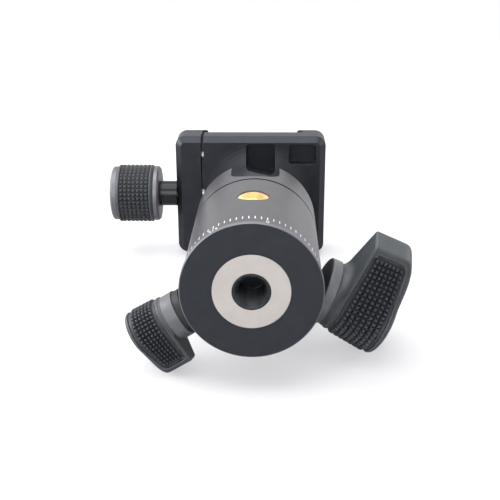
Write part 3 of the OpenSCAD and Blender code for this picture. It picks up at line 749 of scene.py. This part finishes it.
def knob_rows(k, wrap, at, depth):
    """The points of one column, from the bore to the top of the dome. depth is its distance into the inlay."""
    half = wrap.flank + wrap.back
    low, seam_in, seam_out = heights_at(k, at)
    long = seam_out - seam_in
    rim = outline_point(k, low, at, -EDGE_ROUND)
    far = math.hypot(rim[0], rim[1])
    way = (rim[0] / far, rim[1] / far)
    in_bed = depth is not None and depth > 0
    on_bed = depth is not None and depth >= 0
    edge, floor = (-SEAM_EDGE, -INLAY_DEPTH) if in_bed else (0.0, 0.0)

    def bed_point(along, grow):
        """A point at a distance along the axis from the inner seam, in or on the edge of the bed."""
        if not on_bed:
            return outline_point(k, seam_in + along, at)
        across, along = round_corner(min(depth, 2 * half - depth), along, 2 * half, long, k.corner)
        moved = wrap_at(wrap, across)
        return outline_point(k, seam_in + along, moved if at > 0 or at == 4 else -moved, grow)

    rows = [(way[0] * min(r, far), way[1] * min(r, far), z) for r, z in hub_rings(k, low)]
    rows += [rim, outline_point(k, low + EDGE_ROUND, at), outline_point(k, seam_in - SEAM_MARGIN, at)]
    rows += [bed_point(0.0, edge), bed_point(BED_WALL, floor)]
    rows += [bed_point(mix(BED_WALL, long - BED_WALL, i / BED_STEPS), floor) for i in range(1, BED_STEPS)]
    rows += [bed_point(long - BED_WALL, floor), bed_point(long, edge)]
    dome_start, dome_end = seam_out + SEAM_MARGIN, k.top - EDGE_ROUND
    for step in range(DOME_STEPS + 1):
        z = mix(dome_start, dome_end, math.sin(math.pi / 2 * step / DOME_STEPS))
        rows.append(outline_point(k, z, at))
    middle = outline_parts(k, dome_end)[0]
    end = outline_point(k, dome_end, at)
    for share, below in DOME_CLOSING:
        rows.append((middle + (end[0] - middle) * share, end[1] * share, k.top - below))
    return rows


print("a column has", len(knob_rows(main_wing, main_wrap, 4, None)), "points")

# %% [markdown]
# ### Set the knobs in place
# Each knob is made along its own axes, wing along X and screw along Z, where its sizes are easy to
# read. One matrix then turns it to the side of the housing on which it sits, and lets its wing
# droop by the angle that the picture shows.

# %% Build both wing knobs


def knob_place(direction, z, droop):
    """The matrix from a knob's own axes, wing along X and screw along Z, to the frame."""
    a, b = math.radians(direction), math.radians(droop)
    screw = Vector((math.cos(a), math.sin(a), 0))
    level = Vector((math.sin(a), -math.cos(a), 0))
    wing = level * math.cos(b) - Vector((0, 0, 1)) * math.sin(b)
    aside = screw.cross(wing)
    turn = Matrix((wing, aside, screw)).transposed().to_4x4()
    return Matrix.Translation(mm((0, 0, z))) @ turn


def build_knob(name, k, wrap, place, body, node):
    columns = knob_columns(wrap)
    by_column = [knob_rows(k, wrap, at, depth) for at, depth in columns]
    count, wide = len(by_column[0]), len(columns)
    points = [by_column[c][r] for r in range(count) for c in range(wide)]
    faces = grid_faces(count, wide, wrap=True)
    faces += [tuple(range(wide))[::-1], tuple((count - 1) * wide + c for c in range(wide))]
    is_neck, is_hub = NECK_ROWS * wide, HUB_ROWS * wide
    # The first rows, from the bore to the neck, take the painted shade, and the hub rows the hub paint.
    return make_piece(
        name, points, faces, [knob_plastic, hub_paint, neck_painted_shade], body, [node],
        finish_of=lambda face: 2 if face < is_neck else 1 if face < is_hub else 0, place=place,
    )  # fmt: skip


main_place = knob_place(24.4, 24.95, 18.6)
pan_place = knob_place(148.4, 15.0, 15.0)
build_knob("main_wing_body", main_wing, main_wrap, main_place, "main_knob", "main_knob")
build_knob("pan_wing_body", pan_wing, pan_wrap, pan_place, "pan_knob", "pan_knob")

# %% [markdown]
# ### Rubber with pyramids
# The rubber shows rows of small square pyramids inside a plain border. A bump map would leave the
# silhouette smooth, and the real one is toothed where the inlay turns away, so the pyramids are
# real: each cell of a grid carries a small raised square that its four corners slope up to.

# %% Lines across a sheet of pyramids
SEAM_GAP, BORDER, LIP_ROUND = 0.14, 0.95, 0.14
FOOT, LIP, VALLEY, PEAK = -0.55, 0.12, -0.35, 0.42
EDGE_LINES = 3


def field_lines(length, pitch):
    """Lines across a sheet, with the level at each: edge, border and then a whole number of cells."""
    start = SEAM_GAP
    edge = [(start, FOOT), (start + LIP_ROUND, LIP), (start + BORDER, LIP), (start + BORDER + LIP_ROUND, VALLEY)]
    inner = edge[-1][0]
    cells = max(1, round((length - 2 * inner) / pitch))
    field = [(mix(inner, length - inner, i / cells), VALLEY) for i in range(1, cells)]
    return edge + field + [(length - d, level) for d, level in reversed(edge)]


long_way = 2 * (main_wrap.flank + main_wrap.back)
print("the big inlay has", len(field_lines(long_way, main_wing.pitch)), "lines along it")

# %% [markdown]
# ### One pyramid
# A pyramid is a small flat top over the middle of its cell and four slopes down to the cell's
# corners. The same few lines serve the flat sheets of the wing knobs and the ring of the sleeve,
# since only the way from a cell's own measure to a point in space differs.

# %% A pyramid and a sheet of them


def add_pyramid(points, faces, corners, top_share, place):
    """Adds a pyramid over four corners. place(x, y) gives the point at shares x and y of the cell."""
    low, high = 0.5 - top_share / 2, 0.5 + top_share / 2
    top = list(range(len(points), len(points) + 4))
    points += [place(x, y) for x, y in ((low, low), (high, low), (high, high), (low, high))]
    faces.append(tuple(top))
    faces += [(corners[i], corners[(i + 1) % 4], top[(i + 1) % 4], top[i]) for i in range(4)]


INLAY_TOP = 0.36


def pyramid_sheet(across, along, surface):
    """Points and faces of a sheet. surface(across, along, level) places a point given in millimetres."""
    points = [surface(a, b, min(la, lb)) for b, lb in along for a, la in across]
    faces = []
    wide, long = len(across) - 1, len(along) - 1
    for index, corners in enumerate(grid_faces(long + 1, wide + 1, wrap=False)):
        r, c = divmod(index, wide)
        if not (EDGE_LINES <= c < wide - EDGE_LINES and EDGE_LINES <= r < long - EDGE_LINES):
            faces.append(corners)
            continue
        (a0, _), (a1, _), (b0, _), (b1, _) = across[c], across[c + 1], along[r], along[r + 1]

        def place(x, y):
            return surface(mix(a0, a1, x), mix(b0, b1, y), PEAK)

        add_pyramid(points, faces, corners, INLAY_TOP, place)
    return points, faces


print("a pyramid's top takes", INLAY_TOP, "of its cell's width")

# %% [markdown]
# ### Lay the rubber on the knobs
# The sheet is laid out flat, in millimetres along and across. The same outline that shaped the knob
# bends it, so rubber and bed fit each other by themselves.

# %% Build both inlays


def build_inlay(name, k, wrap, place, body, node):
    whole = 2 * (wrap.flank + wrap.back)
    mean_long = heights_at(k, 4)[2] - heights_at(k, 4)[1]

    def surface(across, along, level):
        across, along = round_corner(across, along, whole, mean_long, k.corner)
        at = wrap_at(wrap, across)
        _, seam_in, seam_out = heights_at(k, at)
        z = mix(seam_in, seam_out, along / mean_long)
        return outline_point(k, z, at, level)

    points, faces = pyramid_sheet(field_lines(whole, k.pitch), field_lines(mean_long, k.pitch), surface)
    return make_piece(name, points, faces, [rubber], body, [node], place=place)


build_inlay("main_wing_inlay", main_wing, main_wrap, main_place, "main_knob", "main_inlay")
build_inlay("pan_wing_inlay", pan_wing, pan_wrap, pan_place, "pan_knob", "pan_inlay")

# %% [markdown]
# ## The clamp knob's sleeve
# The sleeve on the clamp knob has the same small pyramids, wrapped round a cylinder. Its ends are
# bevelled down to the metal core. The sheet is closed into a ring by joining its last column to the
# first, so no seam shows.

# %% Rings of the sleeve
SLEEVE_INSET = 1.5
sleeve_low, sleeve_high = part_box("knob_sleeve")
core_low, core_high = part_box("knob_core")
sleeve = Sizes(
    start=sleeve_low.x / MM, end=sleeve_high.x / MM, middle_z=(sleeve_low.z + sleeve_high.z) / 2 / MM,
    r=(sleeve_high.z - sleeve_low.z) / 2 / MM, inner_r=(core_high.y - core_low.y) / 2 / MM - SLEEVE_INSET,
    bevel=0.75, border=0.6, border_end=0.1, border_drop=0.05, relief=0.42,
    cells_round=42, cells_long=7, top_share=0.28,
)  # fmt: skip
step = math.tau / sleeve.cells_round
field_from, field_to = sleeve.start + sleeve.bevel + sleeve.border, sleeve.end - sleeve.bevel - sleeve.border
rings = [(sleeve.start, sleeve.inner_r), (sleeve.start, sleeve.r - sleeve.bevel)]
rings += [(sleeve.start + sleeve.bevel, sleeve.r)]
rings += [(field_from - sleeve.border_end, sleeve.r - sleeve.border_drop)]
first_cell, last_cell = len(rings), len(rings) + sleeve.cells_long
for i in range(sleeve.cells_long + 1):
    rings.append((mix(field_from, field_to, i / sleeve.cells_long), sleeve.r - sleeve.relief))
rings += [(sleeve.start + sleeve.end - x, radius) for x, radius in reversed(rings[:first_cell])]
print("the sleeve has", len(rings), "rings and", sleeve.cells_round * sleeve.cells_long, "pyramids")

# %% [markdown]
# ### Wrap the sleeve
# Each ring of points goes round the knob's axis, which lies along X. A cell between two rings gets a
# pyramid where the field is, and stays plain at the borders and the bevels.

# %% Build the knurled sleeve


def sleeve_point(turn, x, radius):
    return x, radius * math.sin(turn), sleeve.middle_z + radius * math.cos(turn)


points = [sleeve_point(c * step, x, radius) for x, radius in rings for c in range(sleeve.cells_round)]
faces = []
for index, corners in enumerate(grid_faces(len(rings), sleeve.cells_round, wrap=True)):
    row, column = divmod(index, sleeve.cells_round)
    if first_cell <= row < last_cell:
        x0, x1 = rings[row][0], rings[row + 1][0]
        add_pyramid(
            points, faces, corners, sleeve.top_share,
            lambda x, y: sleeve_point((column + x) * step, mix(x0, x1, y), sleeve.r),
        )  # fmt: skip
    else:
        faces.append(corners)
last = (len(rings) - 1) * sleeve.cells_round
for c in range(sleeve.cells_round):
    following = (c + 1) % sleeve.cells_round
    faces.append((last + c, last + following, following, c))
make_piece("knurled_sleeve", points, faces, [rubber], "clamp_knob", ["knob_sleeve"])

# %% [markdown]
# ## The thread in the socket
# The socket takes a 3/8 inch tripod screw with 16 turns to the inch, so its ridges stand 1.59 mm
# apart. A Screw modifier could wind one profile into a thread, but it leaves open ends. Here the bush
# is a turned ring whose inner wall follows a helix: the radius of each point depends on its height
# and on how far round it stands, which makes one continuous groove and a closed piece.

# %% Build the threaded bush
bush_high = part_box("threaded_bush")[1]
bush = Sizes(
    r=bush_high.x / MM, top=bush_high.z / MM, crest_r=4.0, root_r=4.78, pitch=25.4 / 16, depth=12.0,
    flank=2.6, crest=0.15, run_out=0.8, mouth_wider=0.25, mouth_slope=1.1,
)  # fmt: skip
STEPS_ROUND, STEPS_PER_TURN = 72, 12


def thread_radius(z, turn):
    """The wall's radius: a flat crest, a slope, a narrow root and a slope in each pitch."""
    phase = (z / bush.pitch - turn / math.tau) % 1.0
    dip = limit((0.5 - abs(phase - 0.5)) * bush.flank - bush.crest)
    fade_in = limit((bush.depth - z) / bush.run_out)
    radius = mix(bush.crest_r, bush.root_r, dip * fade_in)
    mouth_r = bush.root_r + bush.mouth_wider - z * bush.mouth_slope
    return max(radius, mouth_r)


level_count = int(bush.depth / bush.pitch * STEPS_PER_TURN)
levels = [i * bush.pitch / STEPS_PER_TURN for i in range(level_count)] + [bush.depth]
rows = [[(bush.r, bush.top)] * STEPS_ROUND, [(bush.r, 0.0)] * STEPS_ROUND]
turns = [c * math.tau / STEPS_ROUND for c in range(STEPS_ROUND)]
rows += [[(thread_radius(z, turn), z) for turn in turns] for z in levels]
points = [(r * math.cos(turn), r * math.sin(turn), z) for row in rows for turn, (r, z) in zip(turns, row)]
faces = grid_faces(len(rows), STEPS_ROUND, wrap=True)
last = (len(rows) - 1) * STEPS_ROUND
faces += [tuple(range(STEPS_ROUND))[::-1], tuple(last + c for c in range(STEPS_ROUND))]
make_piece("socket_thread", points, faces, [black_steel], "base", ["threaded_bush"])

# %% [markdown]
# ## The degree scale
# A scale of fine white lines runs round the housing, one every five degrees, and tells how far the
# head has panned. It is printed on the real object. An image could carry it, but thin plates stay
# sharp from near by, and stand only a few hundredths of a millimetre proud.

# %% Build the scale's lines
housing_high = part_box("housing")[1]
scale = Sizes(
    r=housing_high.x / MM, proud=0.03, sunk=-0.02, line_low=5.0, line_high=7.0, line_w=0.26, zero_at=12.8,
    step=5, numbers_every=45, digit_low=2.55, digit_h=1.75, digit_narrow=0.9,
)  # fmt: skip
PLATE_SIDES = ((4, 5, 6, 7), (3, 2, 1, 0), (0, 1, 5, 4), (1, 2, 6, 5), (2, 3, 7, 6), (3, 0, 4, 7))


def on_housing(across, z, degrees, out):
    """A point on the housing's wall, across millimetres beside a direction counted from -Y towards +X."""
    angle = math.radians(degrees) + across / scale.r
    radius = scale.r + out
    return radius * math.sin(angle), -radius * math.cos(angle), z


points, faces = [], []
for mark in range(0, 360, scale.step):
    start = len(points)
    for out in (scale.sunk, scale.proud):
        for across, z in ((-1, 0), (1, 0), (1, 1), (-1, 1)):
            z = mix(scale.line_low, scale.line_high, z)
            points.append(on_housing(across * scale.line_w / 2, z, mark + scale.zero_at, out))
    faces += [tuple(start + i for i in side) for side in PLATE_SIDES]
make_piece("scale_lines", points, faces, [scale_white], "housing")

# %% [markdown]
# ### The scale's numbers
# A number stands below the lines at each eighth of a turn. The digits come from Blender's own font,
# turned into a mesh and bent round the housing in the same way as the lines: a letter's x becomes
# an angle and its y a height. Drawing digits by hand would be slower and look less even.

# %% Build the scale's numbers
points, faces = [], []
for number in range(0, 360, scale.numbers_every):
    words = bpy.data.curves.new(f"number_{number}", "FONT")
    words.body = str(number)
    words.align_x = "CENTER"
    words.size = 1.0
    words.resolution_u = 3
    holder = bpy.data.objects.new(words.name, words)
    letters = bpy.data.meshes.new_from_object(holder)
    tall = max(v.co.y for v in letters.vertices)
    start = len(points)
    points += [
        on_housing(
            v.co.x / tall * scale.digit_h * scale.digit_narrow,
            scale.digit_low + v.co.y / tall * scale.digit_h,
            number + scale.zero_at,
            scale.proud,
        )
        for v in letters.vertices
    ]
    faces += [tuple(start + i for i in polygon.vertices) for polygon in letters.polygons]
    bpy.data.objects.remove(holder)
    bpy.data.curves.remove(words)
    bpy.data.meshes.remove(letters)
make_piece("scale_numbers", points, faces, [scale_white], "housing")

# %% [markdown]
# ## The table and the backdrop
# The head lies on its side on a white table. It rests on the tip of the small wing and on the long
# edge of the clamp, so the table's plane goes through those two places. The table can be seen only
# from its upper side: from behind it is clear, so that other views of the head stay open. A second
# sheet lies under the base for those views, and only the camera sees it. Both fade into the white
# world a few hands away from the head. Where they meet, some views still show a faint line.

# %% Where the table lies
TIP_CLEARANCE = 0.2

clamp_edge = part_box("clamp_body")[1]
wing_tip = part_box("pan_inlay")[1]
wing_tip_z = (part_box("pan_inlay")[0].z + wing_tip.z) / 2
near, far = (wing_tip.y + TIP_CLEARANCE * MM, wing_tip_z), (clamp_edge.y, clamp_edge.z)
table_slope = (far[0] - near[0]) / (far[1] - near[1])


def table_y(z):
    return near[0] + (z - near[1]) * table_slope


print("the table leans", round(math.degrees(math.atan(table_slope)), 1), "degrees from the pan axis")

# %% [markdown]
# ### A sheet of white paper
# Paper under soft light is nearly as white as the backdrop behind it, yet keeps a shadow. More lamps
# would get there and wash out the head. So the paper is a plain dull grey, and glows a little for
# the camera alone. Seen from behind it is clear.

# %% Make a sheet
PAPER_LIFT = 0.46
FADE_FROM, FADE_TO = 0.22, 0.6


def sheet(name, corners, hidden_to_light):
    """A plain sheet that shows from its front alone. hidden_to_light leaves it to the camera."""
    mesh = bpy.data.meshes.new(name)
    mesh.from_pydata(corners, [], [(0, 1, 2, 3)])
    material = bpy.data.materials.new(name)
    material.use_nodes = True
    nodes, links = material.node_tree.nodes, material.node_tree.links
    nodes.clear()
    seen = add_node(material, "ShaderNodeLightPath").outputs["Is Camera Ray"]
    lift = add_node(material, "ShaderNodeMapRange", Value=seen, To_Min=0.0, To_Max=PAPER_LIFT).outputs["Result"]
    white = add_node(material, "ShaderNodeBsdfDiffuse", Color=screen_colour(190, 190, 192))
    glow = add_node(material, "ShaderNodeEmission", Color=screen_colour(252, 252, 255), Strength=lift)
    paper = add_node(material, "ShaderNodeAddShader", _0=white.outputs[0], _1=glow.outputs[0])
    clear = add_node(material, "ShaderNodeBsdfTransparent")
    behind = add_node(material, "ShaderNodeNewGeometry").outputs["Backfacing"]
    distance = distance_from(material, (0.0, 0.0, 0.0), (1.0, 1.0, 1.0))
    gone = remap(material, distance, FADE_FROM, FADE_TO, 0.0, 1.0)
    behind = add_node(material, "ShaderNodeMath", {"operation": "MAXIMUM"}, _0=behind, _1=gone).outputs[0]
    if hidden_to_light:
        unseen = add_node(material, "ShaderNodeMath", {"operation": "SUBTRACT"}, _0=1.0, _1=seen).outputs[0]
        behind = add_node(material, "ShaderNodeMath", {"operation": "MAXIMUM"}, _0=behind, _1=unseen).outputs[0]
    both = add_node(material, "ShaderNodeMixShader", Fac=behind, _1=paper.outputs[0], _2=clear.outputs[0])
    end = add_node(material, "ShaderNodeOutputMaterial")
    links.new(both.outputs[0], end.inputs["Surface"])
    mesh.materials.append(material)
    plane = bpy.data.objects.new(name, mesh)
    bpy.context.scene.collection.objects.link(plane)
    return plane


print("paper fades out between", FADE_FROM, "and", FADE_TO, "metres from the socket")

# %% [markdown]
# ### Lay out the paper
# The table carries the head in the picture, so light and shadow fall on it. The ground lies just
# under the base for the other views, and light passes through it.

# %% Build the table and the ground
TABLE_SIDE, TABLE_LOW, TABLE_HIGH = 2.0, -0.6, 3.0
GROUND_SIDE, GROUND_Z = 3.0, -0.0002

corners = [(-1, TABLE_LOW), (1, TABLE_LOW), (1, TABLE_HIGH), (-1, TABLE_HIGH)]
table = sheet("table", [(x * TABLE_SIDE, table_y(z), z) for x, z in corners], hidden_to_light=False)
corners = [(-1, -1), (1, -1), (1, 1), (-1, 1)]
sheet("ground", [(x * GROUND_SIDE, y * GROUND_SIDE, GROUND_Z) for x, y in corners], hidden_to_light=True)
print("table faces", tuple(round(v, 2) for v in table.data.polygons[0].normal))

# %% [markdown]
# ## Lamps
# One large soft lamp hangs over the table, and smaller ones stand to the left, to the right and
# beside the camera. Large lamps near the head give soft shadows and long, calm streaks on the round
# metal, as a photographer's light tent does.

# %% Build the lamps
AIM = (0, 0, 0.04)


def lamp(name, spot, size, watts):
    data = bpy.data.lights.new(name, "AREA")
    data.shape = "DISK"
    data.size = size
    data.energy = watts
    made = bpy.data.objects.new(name, data)
    made.location = spot
    made.rotation_euler = (Vector(AIM) - Vector(spot)).to_track_quat("-Z", "Y").to_euler()
    bpy.context.scene.collection.objects.link(made)
    return made


lamp("overhead_lamp", (-0.06, -0.60, 0.04), 0.70, 3.0)
lamp("left_lamp", (-0.55, -0.20, 0.10), 0.35, 2.6)
lamp("right_lamp", (0.50, -0.22, 0.22), 0.30, 1.0)
lamp("camera_lamp", (-0.05, -0.25, -0.55), 0.40, 1.2)

# %% [markdown]
# ## The world
# The camera, and the reflections in metal, see a white world. As a light on dull surfaces the world
# is bright on the left and dim on the right, like a room with one window. With the left lamp it
# draws the housing's grey from bright to dark across its round wall.

# %% Build the world
WINDOW_WAY = Vector((-0.9, -0.4, 0.1)).normalized()
DIM_AT, BRIGHT_AT, DIM, BRIGHT = -0.35, 0.55, 0.08, 0.95

world = bpy.data.worlds.new("studio")
bpy.context.scene.world = world
world.use_nodes = True
world.node_tree.nodes.clear()
path = add_node(world, "ShaderNodeLightPath").outputs
larger = {"operation": "MAXIMUM"}
seen = add_node(world, "ShaderNodeMath", larger, _0=path["Is Camera Ray"], _1=path["Is Transmission Ray"])
seen = add_node(world, "ShaderNodeMath", larger, _0=seen.outputs[0], _1=path["Is Glossy Ray"])
way = add_node(world, "ShaderNodeTexCoord").outputs["Generated"]
dot = {"operation": "DOT_PRODUCT"}
to_window = add_node(world, "ShaderNodeVectorMath", dot, _0=way, _1=tuple(WINDOW_WAY)).outputs["Value"]
room = remap(world, to_window, DIM_AT, BRIGHT_AT, DIM, BRIGHT)
strength = remap(world, seen.outputs[0], 0.0, 1.0, room, 1.0)
sky = add_node(world, "ShaderNodeBackground", Color=(1.0, 1.0, 1.0, 1.0), Strength=strength)
end = add_node(world, "ShaderNodeOutputWorld")
world.node_tree.links.new(sky.outputs[0], end.inputs["Surface"])
bpy.context.scene.view_settings.view_transform = "Standard"
print("the world gives from", DIM, "to", BRIGHT, "as a light")

# %% [markdown]
# ## The camera
# The picture looks along the pan axis from below the base, a little from the front. The camera's
# place and direction were fitted to the base disc, the steel ring, the scale and the clamp, because
# a camera set by eye would put every piece a few pixels off.

# %% Build the camera
SENSOR, LENS, CLIP_START = 36.0, 64.8, 0.01
CAMERA_AT = mm((6.10, -103.27, -235.93))
CAMERA_WAY = Vector((-0.02552, 0.35761, 0.93352))
PICTURE_UP = Vector((-0.0051, -0.93386, 0.3576))
right = CAMERA_WAY.cross(PICTURE_UP).normalized()
up = right.cross(CAMERA_WAY).normalized()
camera_data = bpy.data.cameras.new("camera")
camera_data.sensor_width = SENSOR
camera_data.lens = LENS
camera_data.clip_start = CLIP_START
camera = bpy.data.objects.new("camera", camera_data)
turn = Matrix((right, up, -CAMERA_WAY.normalized())).transposed().to_4x4()
camera.matrix_world = Matrix.Translation(CAMERA_AT) @ turn
bpy.context.scene.collection.objects.link(camera)
bpy.context.scene.camera = camera
print("camera", round(CAMERA_AT.length / MM), "mm from the socket")
